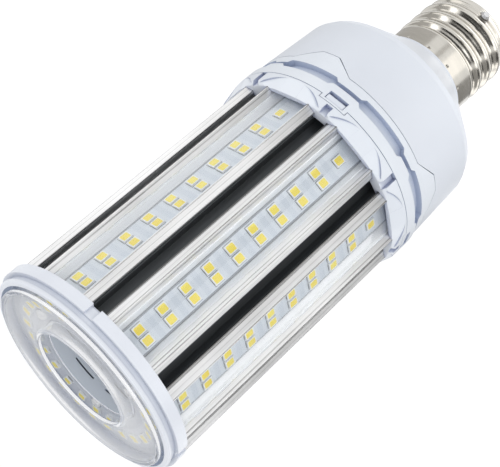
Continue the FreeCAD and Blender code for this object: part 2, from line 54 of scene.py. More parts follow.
# Arch ring: the tilted flats and the hollows beside their posts
BAND_R, ARCH_LEVEL, LIP, FLAT_RISE, ARCH_LEAN = 43.3, 105.8, 111.6, 5.8, 2.15
HOLLOW_START, HOLLOW_END, HOLLOW_DEPTH, HOLLOW_SKIN = 4.0, 14.85, 0.6, 0.012
HOLLOW_FOOT, HOLLOW_FADE, HOLLOW_PAST_LIP, HOLLOW_PAST_BAND = 0.5, (3.5, 11.0), 0.6, 2.0
JOIN_WITHIN, RING_SHARP = 0.002, 12

# Screw shell: thread, wall, heights where the thread grows and ends, and the punch marks of the skirt with
# painted shade in them
THREAD_R, ROOT_R, SKIRT_R, PITCH = 19.7, 18.3, 19.4, 6.35
SHELL_Z, SHELL_TOP, SHELL_OPENING, SHELL_WALL, END_ROUND, END_DROP = 8.0, 44.0, 14.6, 0.5, 1.4, 0.05
THREAD_PHASE_Z, THREAD_SHARPNESS, THREAD_START, THREAD_END = 22.35, 1.25, (9.6, 13.6), (31.8, 34.2)
INNER_SKIRT_Z, INNER_THREAD_Z = 34.0, 33.0
DIMPLES, DIMPLE_FIRST, DIMPLE_Z, DIMPLE_DEPTH = 12, -96.3, 41.9, 1.1
# The last gives the reach of the painted shade in the middle of each punch mark
DIMPLE_SPREAD, DIMPLE_END, DIMPLES_ABOVE, DIMPLE_SHADE_RADIUS = 0.22, 6.0, 39.0, 0.40
# Rings of points of the shell: up to a height they are this far apart, then come the last ones.
LEVEL_STEPS, LAST_LEVELS = ((40.6, 0.22), (43.0, 0.13)), [43.3, 43.7, SHELL_TOP]

# Boards, and a chip with its case, window, gel and terminals, and the painted shadow round its foot
BOARD_FACE, BOARD_EDGE, FRONT_BAND = 35.2, 4.55, 4.2
ROW_TOP, ROW_STEP, ROWS, SINGLE_Z, PAIR_HALF = 212.0, 10.625, 9, 116.53, 2.17
FRONT_BOARD_Z, FRONT_RING_R, FRONT_CHIPS = 221.5, 29.5, 24
CHIP_H, CHIP_W, CHIP_L, CHIP_EDGE, CHIP_ROUND, CHIP_FOOT, CHIP_FOOT_SHADOW = 0.8, 3.5, 4.0, 0.06, 0.12, 0.02, 0.22
WINDOW_INSET, WINDOW_ROUND, GEL_INSET, GEL_ROUND, GEL_DEPTH = (0.34, 0.36), 0.50, (0.40, 0.42), 0.46, 0.07
PAD_INSET, PAD_DEPTH, PAD_HEIGHT = 0.45, 0.3, 0.22

# Screws of the ring board, with the flanks of their cross recess
SCREW_RING_R, SCREW_HEAD_R, SCREW_HEIGHT, CROSS_DEPTH = 24.5, 2.5, 1.2, 0.75
CROSS_HALF_WIDTH, CROSS_HALF_LENGTH = (0.26, 0.42), (1.1, 1.45)

# Front lens: walls, the dome of its face and the face's fall towards the hole, and its roundings
LENS_R, LENS_BORE, LENS_SEAT, LENS_EDGE, LENS_WALL = 37.8, 19.5, 221.9, 227.5, 1.4
LENS_RIM_DROP, LENS_BORE_DROP, LENS_DOME, LENS_FALL = 0.05, 0.5, 0.75, 0.45
LENS_OUTER_ROUND, LENS_INNER_ROUND, LENS_UNDER_ROUND, LENS_FOOT_ROUND = 0.9, 0.7, 0.8, 0.2

# Camera, fitted to the photograph: its place in millimetres and its three axes
CAMERA_PLACE = (33.853, -407.048, 341.580)
CAMERA_RIGHT = (-0.633696, -0.382678, -0.672299)
CAMERA_UP = (0.769658, -0.224462, -0.597698)
CAMERA_BACK = (0.0778204, -0.8961997, 0.4367724)
CAMERA_LENS = 90.01

# Studio, in metres
FLOOR_Z, FLOOR_HALF = -0.30, 6.0
CARD_FOOT, CARD_SPLIT, CARD_TOP, FAR, NEAR = -0.29, -0.135, 0.11, 0.40, 0.10


# Node helpers
def emptied(owner):
    """Node tree of a material or a world, without nodes."""
    owner.use_nodes = True
    owner.node_tree.nodes.clear()
    return owner.node_tree


class Graph:
    """Node tree of one material, with a principled shader already linked to its output."""

    MIX_LOW, MIX_HIGH, MIX_RESULT = 6, 7, 2

    def __init__(self, name):
        self.mat = bpy.data.materials.new(name)
        self.tree = emptied(self.mat)
        self.out = self.add("ShaderNodeOutputMaterial")
        self.bsdf = self.add("ShaderNodeBsdfPrincipled")
        self.link(self.bsdf, "BSDF", self.out, "Surface")
        self.coords = self.add("ShaderNodeTexCoord")

    def add(self, kind, **values):
        node = self.tree.nodes.new(kind)
        for key, value in values.items():
            setattr(node, key, value)
        return node

    def link(self, a, out, b, socket):
        self.tree.links.new(a.outputs[out], b.inputs[socket])

    def mapping(self, scale=(1, 1, 1), angle=0.0):
        """Object coordinates turned by -angle about the axis, then scaled."""
        turn = self.add("ShaderNodeVectorRotate", rotation_type="Z_AXIS")
        turn.inputs["Angle"].default_value = -angle
        self.link(self.coords, "Object", turn, "Vector")
        node = self.add("ShaderNodeVectorMath", operation="MULTIPLY")
        node.inputs[1].default_value = scale
        self.link(turn, "Vector", node, 0)
        return node

    def split(self, source):
        node = self.add("ShaderNodeSeparateXYZ")
        self.link(source, "Vector", node, "Vector")
        return node

    def noise(self, source, scale, detail, roughness=0.5):
        node = self.add("ShaderNodeTexNoise")
        node.inputs["Scale"].default_value = scale
        node.inputs["Detail"].default_value = detail
        node.inputs["Roughness"].default_value = roughness
        self.link(source, "Vector", node, "Vector")
        return node

    def ramp(self, source, out, stops):
        """Colour ramp from stops of place and colour, linked to the base colour."""
        node = self.add("ShaderNodeValToRGB")
        elements = node.color_ramp.elements
        while len(elements) < len(stops):
            elements.new(0.5)
        for element, (place, colour) in zip(elements, stops):
            element.position = place
            element.color = (*colour, 1.0)
        self.link(source, out, node, "Fac")
        self.link(node, "Color", self.bsdf, "Base Color")
        return node

    def span(self, source, out, low, high):
        node = self.add("ShaderNodeMapRange")
        node.inputs["To Min"].default_value = low
        node.inputs["To Max"].default_value = high
        self.link(source, out, node, "Value")
        return node

    def rough(self, source, out, low, high):
        self.link(self.span(source, out, low, high), "Result", self.bsdf, "Roughness")

    def math(self, operation, *sources):
        """Math node, returned with its output; a source is a number or such a pair."""
        node = self.add("ShaderNodeMath", operation=operation)
        for i, source in enumerate(sources):
            if isinstance(source, (int, float)):
                node.inputs[i].default_value = source
            else:
                self.link(*source, node, i)
        return (node, 0)

    def away(self, source, place):
        """Distance of a value from a place."""
        return self.math("ABSOLUTE", self.math("SUBTRACT", source, place))

    def near(self, source, place, half):
        """One where a value lies within half of a place, else zero."""
        return self.math("LESS_THAN", self.away(source, place), half)

    def fade(self, source, start, gain):
        """Zero below start, then up to one at the given gain."""
        rise = self.math("MULTIPLY", self.math("SUBTRACT", source, start), gain)
        return self.math("MINIMUM", self.math("MAXIMUM", rise, 0.0), 1.0)

    def bump(self, source, out, strength, distance, bevel=0.0):
        node = self.add("ShaderNodeBump")
        node.inputs["Strength"].default_value = strength
        node.inputs["Distance"].default_value = distance
        self.link(source, out, node, "Height")
        if bevel:
            edge = self.add("ShaderNodeBevel", samples=6)
            edge.inputs["Radius"].default_value = bevel
            self.link(edge, "Normal", node, "Normal")
        self.link(node, "Normal", self.bsdf, "Normal")

    def paint_corner_shade(self, tone, colour, reach, shade):
        """Painted shade: a darker second colour for moulded corners and hollows, mixed in by how closed a
        place is.
        """
        cavity = self.add("ShaderNodeAmbientOcclusion", samples=8, only_local=False)
        cavity.inputs["Distance"].default_value = reach
        depth = self.span(cavity, "AO", 0.0, 1.0)
        depth.inputs["From Min"].default_value = shade[0]
        depth.inputs["From Max"].default_value = shade[1]
        mix = self.add("ShaderNodeMix", data_type="RGBA")
        mix.inputs[self.MIX_LOW].default_value = (*colour, 1)
        self.link(depth, "Result", mix, "Factor")
        self.link(tone, "Color", mix, self.MIX_HIGH)
        self.link(mix, self.MIX_RESULT, self.bsdf, "Base Color")


def scaled(colour, factor):
    return tuple(c * factor for c in colour)


# Material functions
def plastic(name, colour, rough=(0.32, 0.42), bevel=0.00025, corner_shade=None, reach=0.0035, shade=(0.25, 0.80)):
    """Moulded plastic with a fine grain and soft edges, and painted shade in its corners when a corner
    colour is given.
    """
    g = Graph(name)
    place = g.mapping()
    broad = g.noise(place, 28, 3)
    fine = g.noise(place, 2600, 2)
    tone = g.ramp(broad, "Fac", [(0.3, scaled(colour, 0.975)), (0.7, colour)])
    # Painted shade in the corners and hollows, mixed in by ambient occlusion
    if corner_shade:
        g.paint_corner_shade(tone, corner_shade, reach, shade)
    g.rough(fine, "Fac", *rough)
    g.bump(fine, "Fac", 0.05, 0.0001, bevel)
    return g.mat


def brushed(name, colour, rough, metallic, angle=0.0, streak=(2200, 2200, 14), bevel=0.00012, depth=0.12,
            grooves=()):
    """Metal with a fine brush along the axis; with grooves also the white walls beside the board and their
    painted light.
    """
    g = Graph(name)
    lines = g.noise(g.mapping(streak, angle), 1.0, 3, 0.6)
    drift = g.noise(g.mapping((60, 60, 25), angle), 1.0, 2)
    pits = g.noise(g.mapping((4000, 4000, 1200), angle), 1.0, 2)
    mixed = g.math("MULTIPLY_ADD", (lines, "Fac"), 0.7, (drift, "Fac"))
    g.bsdf.inputs["Metallic"].default_value = metallic
    if grooves:
        side = g.math("ABSOLUTE", (g.split(g.mapping(angle=angle)), "Y"))
        for place, half, deep in grooves:
            mixed = g.math("MULTIPLY_ADD", g.near(side, place * MM, half * MM), -deep, mixed)
        # White walls beside the board, painted paler still: painted light that lifts their shade
        wall = g.math("LESS_THAN", side, WHITE_HALF * MM)
        mixed = g.math("MULTIPLY_ADD", wall, WHITE_AND_PAINTED_LIGHT, mixed)
        dull = g.math("MULTIPLY_ADD", wall, -WHITE_DULL * metallic, metallic)
        g.link(*dull, g.bsdf, "Metallic")
    g.ramp(*mixed, [(0.0, scaled(colour, 0.14)), (0.58, scaled(colour, 0.78)), (1.0, colour)])
    g.rough(*mixed, rough[0] - 0.1, rough[1])
    relief = g.math("MULTIPLY_ADD", (pits, "Fac"), 0.25, (lines, "Fac"))
    g.bump(*relief, depth, 0.0001, bevel)
    return g.mat


def clear(name, tint, rough=0.02, gloss=0.5, wave=0.02, ior=1.49):
    """Clear plastic that lets the light through to what lies behind it."""
    g = Graph(name)
    place = g.mapping()
    waves = g.noise(place, 60, 2)
    dust = g.noise(place, 900, 3)
    g.ramp(waves, "Fac", [(0.3, scaled(tint, 0.985)), (0.7, tint)])
    g.rough(dust, "Fac", rough * 0.5, rough * 2.0)
    g.bump(waves, "Fac", wave, 0.0002)
    g.bsdf.inputs["Transmission Weight"].default_value = 1.0
    g.bsdf.inputs["IOR"].default_value = ior
    g.bsdf.inputs["Specular IOR Level"].default_value = gloss
    path = g.add("ShaderNodeLightPath")
    through = g.add("ShaderNodeBsdfTransparent")
    through.inputs["Color"].default_value = (0.96, 0.97, 0.98, 1)
    mix = g.add("ShaderNodeMixShader")
    deep = g.math("GREATER_THAN", (path, "Ray Depth"), 3.5)
    either = g.math("MAXIMUM", (path, "Is Shadow Ray"), (path, "Is Diffuse Ray"))
    either = g.math("MAXIMUM", either, deep)
    g.link(*either, mix, "Fac")
    g.link(g.bsdf, "BSDF", mix, 1)
    g.link(through, "BSDF", mix, 2)
    g.link(mix, "Shader", g.out, "Surface")
    return g.mat


def metal(name, colour, rough, grain, scale=(1, 1, 1), strength=0.04):
    """Plated or bare metal with a slight drift of tone."""
    g = Graph(name)
    place = g.mapping(scale)
    fine = g.noise(place, grain, 3)
    broad = g.noise(place, 35, 3)
    g.ramp(broad, "Fac", [(0.3, scaled(colour, 0.88)), (0.7, colour)])
    g.rough(fine, "Fac", *rough)
    g.bump(fine, "Fac", strength, 0.0001)
    g.bsdf.inputs["Metallic"].default_value = 1.0
    return g.mat


def board_material(name, angle):
    """Solder mask: bare stripes between the rows, bare edges and a painted shadow round the foot of each
    chip.
    """
    g = Graph(name)
    split = g.split(g.mapping(angle=angle))
    side = g.math("ABSOLUTE", (split, "Y"))
    level = (split, "Z")
    row = g.math("DIVIDE", level, ROW_STEP * MM)
    row = g.math("FRACT", g.math("ADD", row, 0.5 - ROW_TOP / ROW_STEP))
    row = g.away(row, 0.5)
    stripe = g.fade(row, 0.36, 18.0)
    edge = g.fade(side, BOARD_EDGE * MM, 6000.0)
    half_width, half_length = CHIP_W / 2 + CHIP_FOOT_SHADOW, CHIP_L / 2 + CHIP_FOOT_SHADOW
    pair = g.math("MULTIPLY", g.near(side, PAIR_HALF * MM, half_width * MM),
                  g.math("LESS_THAN", row, half_length / ROW_STEP))
    paired = g.math("GREATER_THAN", level, (ROW_TOP - ROW_STEP * (ROWS - 0.5)) * MM)
    pair = g.math("MULTIPLY", pair, paired)
    single = g.math("MULTIPLY", g.near(level, SINGLE_Z * MM, half_length * MM),
                    g.math("LESS_THAN", side, half_width * MM))
    # Dark outline round each chip: painted shadow at the chip's foot
    outline = g.math("MAXIMUM", pair, single)
    bare = g.math("MAXIMUM", g.math("MULTIPLY", stripe, 0.45), edge)
    speck = g.noise(g.mapping(angle=angle), 700, 3)
    bare = g.math("MULTIPLY_ADD", (speck, "Fac"), 0.25, bare)
    bare = g.math("MULTIPLY_ADD", outline, 1.6, bare)
    g.ramp(*bare, [(0.1, (0.71, 0.745, 0.785)), (0.85, (0.60, 0.645, 0.70)), (1.0, (0.30, 0.32, 0.35))])
    g.rough(speck, "Fac", 0.28, 0.42)
    g.bump(*bare, 0.25, -0.00006)
    return g.mat


def front_board_material():
    """Ring board: paler under the circle of chips, darker at its inner and outer edge."""
    g = Graph("front_board_mask")
    local = g.mapping()
    split = g.split(local)
    flat = g.add("ShaderNodeCombineXYZ")
    g.link(split, "X", flat, "X")
    g.link(split, "Y", flat, "Y")
    reach = g.add("ShaderNodeVectorMath", operation="LENGTH")
    g.link(flat, "Vector", reach, 0)
    band = g.fade(g.away((reach, "Value"), FRONT_RING_R * MM), FRONT_BAND * MM, 4000.0)
    speck = g.noise(local, 600, 3)
    bare = g.math("MULTIPLY_ADD", (speck, "Fac"), 0.25, band)
    g.ramp(*bare, [(0.1, (0.62, 0.63, 0.66)), (1.0, (0.50, 0.515, 0.55))])
    g.rough(speck, "Fac", 0.3, 0.45)
    g.bump(*bare, 0.25, -0.00006)
    return g.mat


def phosphor_material():
    """Yellow gel of the chips."""
    g = Graph("chip_phosphor")
    place = g.mapping()
    grain = g.noise(place, 1800, 3)
    broad = g.noise(place, 90, 2)
    both = g.math("MULTIPLY_ADD", (grain, "Fac"), 0.4, (broad, "Fac"))
    g.ramp(*both, [(0.45, (0.94, 0.71, 0.035)), (0.95, (0.98, 0.82, 0.12))])
    g.rough(grain, "Fac", 0.25, 0.45)
    g.bump(grain, "Fac", 0.2, 0.00003)
    return g.mat


# Mesh helpers
def placed(name, data):
    obj = bpy.data.objects.new(name, data)
    bpy.context.scene.collection.objects.link(obj)
    return obj


def dress(mesh, material):
    """One material for a whole mesh."""
    mesh.materials.clear()
    mesh.materials.append(material)


def smooth_faces(mesh, sharp):
    """Smooth shading that keeps the edges above an angle in degrees."""
    for poly in mesh.polygons:
        poly.use_smooth = True
    mesh.set_sharp_from_angle(angle=math.radians(sharp))


def mesh_object(name, verts, faces, mats, sharp, kinds=()):
    """Object from points in millimetres; kinds gives the material of each face."""
    mesh = bpy.data.meshes.new(name)
    mesh.from_pydata([Vector(v) * MM for v in verts], [], faces)
    mesh.validate()
    for material in mats:
        mesh.materials.append(material)
    for poly, index in zip(mesh.polygons, kinds):
        poly.material_index = index
    smooth_faces(mesh, sharp)
    return placed(name, mesh)


def closed_columns(steps, count):
    """Quads of a surface of columns round the axis, each a closed loop of count points."""
    faces = []
    for i in range(steps):
        j = (i + 1) % steps
        for k in range(count):
            n = (k + 1) % count
            faces.append((i * count + k, j * count + k, j * count + n, i * count + n))
    return faces


def rectangle(half_w, half_l):
    return [(-half_w, -half_l), (half_w, -half_l), (half_w, half_l), (-half_w, half_l)]


def rounded(points, radii, arcs):
    """Copy of a closed polygon with rounded corners, one radius for each."""
    result = []
    for i, point in enumerate(points):
        here = Vector(point)
        before = Vector(points[i - 1]) - here
        after = Vector(points[(i + 1) % len(points)]) - here
        reach = min(before.length, after.length) * 0.48
        half = before.angle(after) / 2
        if radii[i] <= 0 or half > math.radians(88):
            result.append(tuple(here))
            continue
        cut = min(radii[i] / math.tan(half), reach)
        a = here + before.normalized() * cut
        b = here + after.normalized() * cut
        for k in range(arcs + 1):
            t = k / arcs
            result.append(tuple((1 - t) ** 2 * a + 2 * t * (1 - t) * here + t * t * b))
    return result


def smooth_step(value, low, high):
    t = max(0.0, min(1.0, (value - low) / (high - low)))
    return t * t * (3 - 2 * t)


def piece(obj, slot, *replaced):
    """Piece of the part that rides on its body, in place of the named nodes if there are any."""
    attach(obj, "root")
    if replaced:
        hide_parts(*replaced)


# Materials of the CAD nodes
# Darker colours of painted shade for the corners, vents and grooves of the plastic parts
CORNER_SHADE = (0.40, 0.44, 0.54)
housing_mat = plastic("housing_plastic", (0.765, 0.795, 0.855), (0.30, 0.40))
collar_mat = plastic("collar_plastic", (0.81, 0.845, 0.90), (0.26, 0.36), corner_shade=(0.42, 0.48, 0.62),
                     reach=0.009, shade=(0.30, 0.88))
ring_mat = plastic("arch_ring_plastic", (0.80, 0.835, 0.895), (0.26, 0.36), corner_shade=(0.33, 0.37, 0.52),
                   reach=0.005, shade=(0.35, 0.92))
end_mat = plastic("end_ring_plastic", (0.80, 0.825, 0.885), (0.24, 0.34), corner_shade=CORNER_SHADE)
cup_mat = plastic("cup_plastic", (0.70, 0.74, 0.80), (0.30, 0.42), corner_shade=CORNER_SHADE)
black_mat = plastic("insulator_moulding", (0.03, 0.03, 0.034), (0.15, 0.3))
contact_mat = metal("contact_plate", (0.76, 0.73, 0.68), (0.18, 0.34), 900)
solder_mat = metal("solder", (0.62, 0.62, 0.63), (0.3, 0.5), 500, strength=0.2)
core_mat = brushed("black_anodised", (0.075, 0.082, 0.088), (0.28, 0.40), 0.35, streak=(1300, 1300, 10),
                   bevel=0.0004, depth=0.35)
cover_mat = clear("clear_cover", (0.98, 0.99, 1.0), 0.05, 1.0, 0.004, 1.58)

for node_name, material in (
    ("driver_housing", housing_mat), ("vent_collar", collar_mat), ("arch_ring", ring_mat),
    ("end_ring", end_mat), ("inner_cup", cup_mat), ("base_insulator", black_mat),
    ("centre_contact", contact_mat), ("side_solder", solder_mat), ("heat_sink_core", core_mat),
    ("core_tube", core_mat), ("front_board", front_board_material()),
    ("driver_board", plastic("driver_laminate", (0.08, 0.26, 0.13))),
    ("driver_transformer", plastic("winding_tape", (0.75, 0.60, 0.16))),
    ("driver_capacitor", plastic("can_sleeve", (0.08, 0.08, 0.10))),
    ("driver_inductor", plastic("shrink_sleeve", (0.06, 0.06, 0.065))),
):
    dress(nodes[node_name].data, material)
for k in PANELS:
    panel_mat = brushed("extruded_panel_%d" % k, (0.86, 0.865, 0.875), (0.30, 0.40), 0.80, PANEL_ANGLE[k],
                        grooves=GROOVES)
    dress(nodes["panel_profile_%d" % k].data, panel_mat)
    dress(nodes["led_board_%d" % k].data, board_material("board_mask_%d" % k, PANEL_ANGLE[k]))
    dress(nodes["cover_strip_%d" % k].data, cover_mat)

# Materials of the scene's own pieces
nickel_mat = metal("nickel_plate", (0.64, 0.615, 0.565), (0.14, 0.24), 300, (1, 1, 8), 0.02)
# Dark metal in the punch marks: painted shade in their hollows
punch_shade_mat = metal("punch_painted_shade", (0.10, 0.095, 0.09), (0.3, 0.5), 900)
screw_mat = metal("screw_steel", (0.75, 0.75, 0.74), (0.12, 0.25), 1500, strength=0.05)
clear_mat = clear("clear_lens", (0.835, 0.84, 0.86))
case_mat = plastic("chip_case", (0.86, 0.86, 0.84), (0.25, 0.4), bevel=0.0)
pad_mat = metal("chip_terminal", (0.80, 0.79, 0.76), (0.2, 0.35), 1500)
chip_mats = [case_mat, phosphor_material(), pad_mat]
CASE, GEL, PAD = 0, 1, 2


# Arch ring
def hollow(angle, side):
    """Closed block that sinks one end of a flat below the round band beside its post."""
    cosine, sine = math.cos(angle), math.sin(angle)
    columns, rows = 18, 8
    inner, outer = [], []
    for i in range(columns + 1):
        share = i / columns
        y = HOLLOW_START + (HOLLOW_END - HOLLOW_START) * share
        low = ARCH_LEVEL + HOLLOW_FOOT + (FLAT_RISE - HOLLOW_FOOT) * share ** 2
        drop = HOLLOW_DEPTH * smooth_step(y, *HOLLOW_FADE) + HOLLOW_SKIN
        for j in range(rows + 1):
            z = low + (LIP + HOLLOW_PAST_LIP - low) * j / rows
            flat_x = BAND_R - ARCH_LEAN * (z - ARCH_LEVEL) / FLAT_RISE
            x = min(math.sqrt(BAND_R ** 2 - y ** 2), flat_x) - drop
            for grid, reach in ((inner, x), (outer, BAND_R + HOLLOW_PAST_BAND)):
                grid.append((reach * cosine - side * y * sine, reach * sine + side * y * cosine, z))
    half, width = len(inner), rows + 1
    faces = []
    for i in range(columns):
        for j in range(rows):
            a = i * width + j
            faces.append((a, a + 1, a + width + 1, a + width))
            faces.append((half + a, half + a + width, half + a + width + 1, half + a + 1))
    border = [i * width for i in range(columns + 1)]
    border += [columns * width + j for j in range(1, rows + 1)]
    border += [i * width + rows for i in range(columns - 1, -1, -1)]
    border += list(range(rows - 1, 0, -1))
    for a, b in zip(border, border[1:] + border[:1]):
        faces.append((a, b, half + b, half + a))
    return inner + outer, faces


def hollows():
    """The sixteen blocks in one object, with normals that point outwards."""
    verts, faces = [], []
    for angle in PANEL_ANGLE.values():
        for side in (-1, 1):
            more, patches = hollow(angle, side)
            faces += [tuple(len(verts) + i for i in patch) for patch in patches]
            verts += more
    obj = mesh_object("ring_hollows", verts, faces, [ring_mat], RING_SHARP)
    work = bmesh.new()
    work.from_mesh(obj.data)
    bmesh.ops.recalc_face_normals(work, faces=work.faces)
    work.to_mesh(obj.data)
    work.free()
    return obj


def ring_blank():
    """Copy of the CAD ring with its faces joined, as the cut needs it."""
    work = bmesh.new()
    work.from_mesh(nodes["arch_ring"].data)
    bmesh.ops.remove_doubles(work, verts=work.verts, dist=JOIN_WITHIN * MM)
    mesh = bpy.data.meshes.new("ring_blank")
    work.to_mesh(mesh)
    work.free()
    return placed("ring_blank", mesh)


def carved_ring():
    """Arch ring with creases where its flats run out beside the posts."""
    blank, cutter = ring_blank(), hollows()
    cut = blank.modifiers.new("hollows", "BOOLEAN")
    cut.operation = "DIFFERENCE"
    cut.solver = "EXACT"
    cut.object = cutter
    bpy.context.view_layer.update()
    carved = bpy.data.meshes.new_from_object(blank.evaluated_get(bpy.context.evaluated_depsgraph_get()))
    for spare in (blank, cutter):
        bpy.data.objects.remove(spare)
    carved.name = "carved_arch_ring"
    dress(carved, ring_mat)
    smooth_faces(carved, RING_SHARP)
    return placed("carved_arch_ring", carved)


piece(carved_ring(), "collar", "arch_ring")


# Screw shell
def shell_radius(theta, z):
    """Outer radius of the rolled shell: thread, plain skirt, rounded end and punch marks."""
    turns = (z - THREAD_PHASE_Z) / PITCH - (math.degrees(theta) + 90) / 360
    wave = 0.5 + 0.5 * math.cos(2 * math.pi * turns)
    crest = 1 - (1 - wave) ** THREAD_SHARPNESS
    thread = ROOT_R + (THREAD_R - ROOT_R) * crest
    grown = smooth_step(z, *THREAD_START)
    body = (ROOT_R - END_DROP) * (1 - grown) + thread * grown
    fade = smooth_step(z, *THREAD_END)
    r = body * (1 - fade) + SKIRT_R * fade
    if z < SHELL_Z + END_ROUND:
        t = (SHELL_Z + END_ROUND - z) / END_ROUND
        r -= END_ROUND * (1 - math.sqrt(max(0.0, 1 - t * t)))
    if z > DIMPLES_ABOVE:
        for i in range(DIMPLES):
            a = math.radians(DIMPLE_FIRST + 360 / DIMPLES * i)
            across = math.atan2(math.sin(theta - a), math.cos(theta - a)) * SKIRT_R
            q = (across ** 2 + (z - DIMPLE_Z) ** 2) / DIMPLE_SPREAD
            if q < DIMPLE_END:
                r -= DIMPLE_DEPTH * math.exp(-q * q)
    return r


def shell_levels():
    """Heights of the shell's rings of points, closer together at the end and at the punch marks."""
    levels = [SHELL_Z + END_ROUND * (1 - math.cos(math.radians(9 * i))) for i in range(10)]
    z = SHELL_Z + END_ROUND
    for top, step in LEVEL_STEPS:
        while z < top:
            levels.append(z)
            z += step
    return levels + LAST_LEVELS


def screw_shell():
    """Closed shell of an outer and an inner profile, with painted shade, a darker material, in the punch
    marks.
    """
    steps = 480
    levels = shell_levels()
    in_skirt, in_thread, bottom = SKIRT_R - SHELL_WALL, ROOT_R - SHELL_WALL, SHELL_Z + SHELL_WALL
    inner = [(in_skirt, SHELL_TOP), (in_skirt, INNER_SKIRT_Z), (in_thread, INNER_THREAD_Z),
             (in_thread, bottom), (SHELL_OPENING, bottom), (SHELL_OPENING, SHELL_Z)]
    count = len(levels) + len(inner)
    pitch = 360 / DIMPLES
    verts, kinds = [], []
    for i in range(steps):
        a = 2 * math.pi * i / steps
        theta = math.atan2(math.sin(a), math.cos(a))
        column = [(shell_radius(theta, z), z) for z in levels] + inner
        verts += [(r * math.cos(a), r * math.sin(a), z) for r, z in column]
        # Faces in the middle of a punch mark get the painted shade
        turn = math.degrees(2 * math.pi * (i + 0.5) / steps) - DIMPLE_FIRST
        across = math.radians((turn + pitch / 2) % pitch - pitch / 2) * SKIRT_R
        for k in range(count):
            in_punch_shade = False
            if k + 1 < len(levels):
                rise = (levels[k] + levels[k + 1]) / 2 - DIMPLE_Z
                in_punch_shade = math.hypot(across, rise) < DIMPLE_SHADE_RADIUS
            kinds.append(1 if in_punch_shade else 0)
    faces = closed_columns(steps, count)
    return mesh_object("rolled_screw_shell", verts, faces, [nickel_mat, punch_shade_mat], 50, kinds)


piece(screw_shell(), "nickel", "screw_shell")


# Chips
BOX_FACES = ((0, 3, 2, 1), (4, 5, 6, 7), (0, 1, 5, 4), (1, 2, 6, 5), (2, 3, 7, 6), (3, 0, 4, 7))


def chip_rings():
    """Outlines of a chip from its foot to its gel, as points across, along and up from the board."""
    rings = []
    for (inset_w, inset_l), radius, height in (
        ((0.0, 0.0), CHIP_ROUND, CHIP_FOOT), ((0.0, 0.0), CHIP_ROUND, CHIP_H - CHIP_EDGE),
        ((CHIP_EDGE, CHIP_EDGE), CHIP_ROUND, CHIP_H), (WINDOW_INSET, WINDOW_ROUND, CHIP_H),
        (GEL_INSET, GEL_ROUND, CHIP_H - GEL_DEPTH),
    ):
        outline = rounded(rectangle(CHIP_W / 2 - inset_w, CHIP_L / 2 - inset_l), [radius] * 4, 3)
        rings.append([(u, v, height) for u, v in outline])
    return rings


def add_chip(verts, faces, kinds, place):
    """Case with rounded corners, sunken gel and two terminals; place gives a point's position."""
    rings = chip_rings()
    size = len(rings[0])
    base = len(verts)
    for ring in rings:
        verts += [place(*point) for point in ring]
    for low in range(base, len(verts) - size, size):
        for i in range(size):
            j = (i + 1) % size
            faces.append((low + i, low + j, low + size + j, low + size + i))
            kinds.append(CASE)
    faces.append(tuple(range(len(verts) - size, len(verts))))
    kinds.append(GEL)
    middle = (CHIP_L - PAD_DEPTH) / 2
    for shift in (-middle, middle):
        start = len(verts)
        for h in (0.0, PAD_HEIGHT):
            verts += [place(u, v + shift, h) for u, v in rectangle(CHIP_W / 2 - PAD_INSET, PAD_DEPTH / 2)]
        for face in BOX_FACES:
            faces.append(tuple(start + i for i in face))
            kinds.append(PAD)


def on_panel(angle, side, level):
    """Placer for a chip of a panel: gives the position of a point across, along and up from the board."""
    cosine, sine = math.cos(angle), math.sin(angle)

    def place(u, v, h):
        x, y = BOARD_FACE + h, side + u
        return (x * cosine - y * sine, x * sine + y * cosine, level + v)
    return place


def on_ring(angle):
    """Placer for a chip of the ring board, whose length points outwards."""
    cosine, sine = math.cos(angle), math.sin(angle)

    def place(u, v, h):
        x, y = FRONT_RING_R + v, u
        return (x * cosine - y * sine, x * sine + y * cosine, FRONT_BOARD_Z + h)
    return place


def chips(name, node_name, placers):
    """All chips of a board in one object, in place of the board's CAD chips."""
    verts, faces, kinds = [], [], []
    for place in placers:
        add_chip(verts, faces, kinds, place)
    piece(mesh_object(name, verts, faces, chip_mats, 25, kinds), "chip", node_name)


for k in PANELS:
    placers = [on_panel(PANEL_ANGLE[k], 0.0, SINGLE_Z)]
    for i in range(ROWS):
        for side in (-PAIR_HALF, PAIR_HALF):
            placers.append(on_panel(PANEL_ANGLE[k], side, ROW_TOP - ROW_STEP * i))
    chips("chips_%d" % k, "led_chips_%d" % k, placers)
chips("front_ring_chips", "front_chips",
      [on_ring(math.radians(-90 + 360 / FRONT_CHIPS * i)) for i in range(FRONT_CHIPS)])


# Screws of the ring board
def screw_height(x, y):
    """Height of the domed head with its cross recess, above the board."""
    dome = SCREW_HEIGHT * math.sqrt(max(0.0, 1 - (math.hypot(x, y) / SCREW_HEAD_R) ** 4.0))
    aside, along = min(abs(x), abs(y)), max(abs(x), abs(y))
    recess = (1 - smooth_step(aside, *CROSS_HALF_WIDTH)) * (1 - smooth_step(along, *CROSS_HALF_LENGTH))
    return max(dome - CROSS_DEPTH * recess, 0.0)


